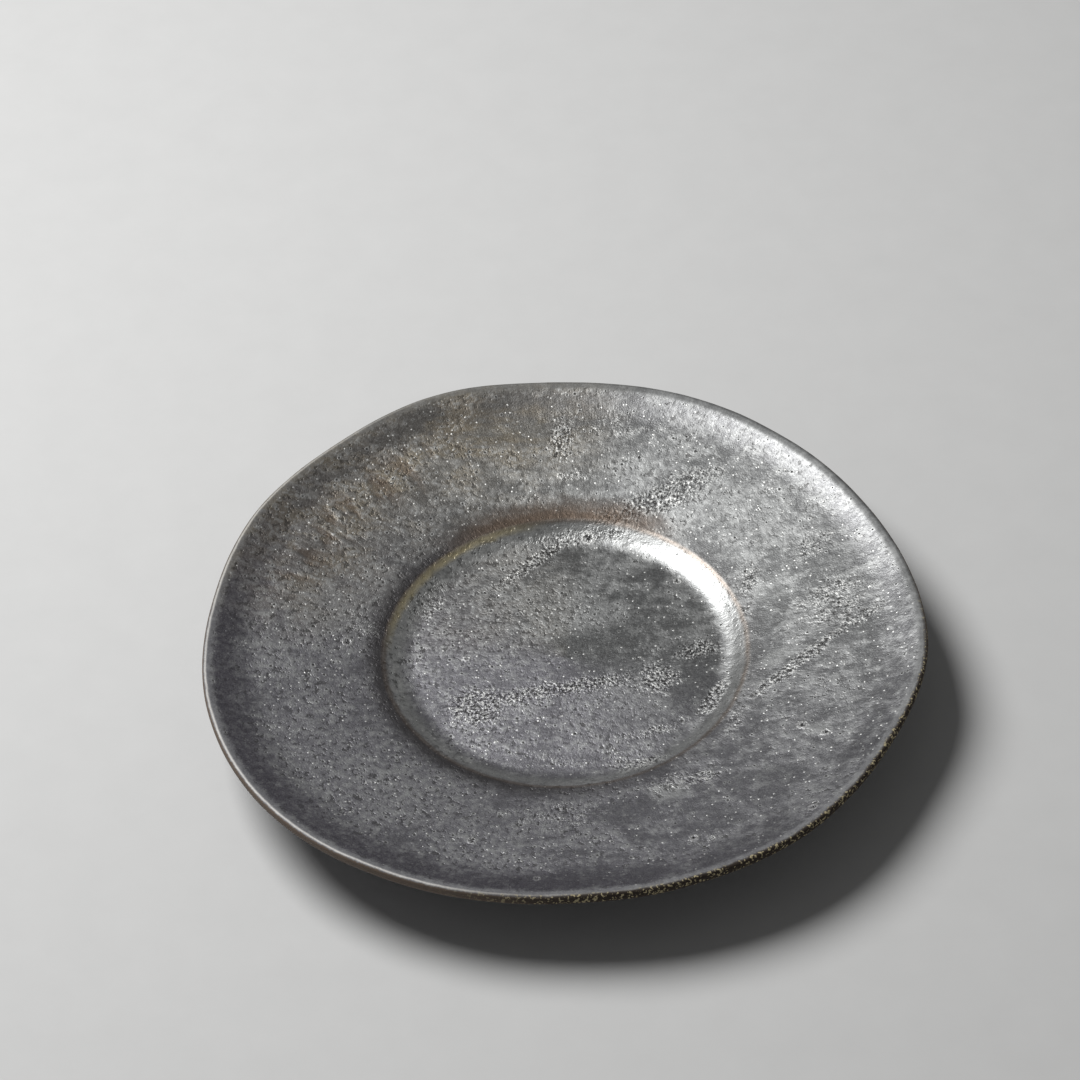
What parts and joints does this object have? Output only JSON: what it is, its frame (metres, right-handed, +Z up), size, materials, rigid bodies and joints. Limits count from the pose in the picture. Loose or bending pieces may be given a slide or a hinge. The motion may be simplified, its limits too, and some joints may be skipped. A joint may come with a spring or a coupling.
{
  "type": "paten plate",
  "caption": "Round hand-formed stoneware plate with a wide rising rim, a shallow round well and a foot ring, in a matt silver-grey glaze.",
  "frame": {"origin": "centre of the foot ring's resting face, on the surface the plate stands on", "axes": "+Z up out of the plate; +X to the right and +Y away as the plate is usually looked at"},
  "size_m": [0.2375, 0.2338, 0.0287],
  "materials": {
    "stoneware": "rough, dark iron-bearing stoneware",
    "bare_foot": "unglazed, rubbed smooth",
    "face_glaze": "matt metallic silver-grey, pinholed, brown where thin",
    "back_glaze": "matt metallic silver-grey, thinner than on the face"
  },
  "bodies": {
    "root": {"clay_body": "stoneware", "foot_ring": "bare_foot", "face_glaze": "face_glaze", "underside_glaze": "back_glaze", "foot_well_glaze": "back_glaze"}
  },
  "joints": []
}
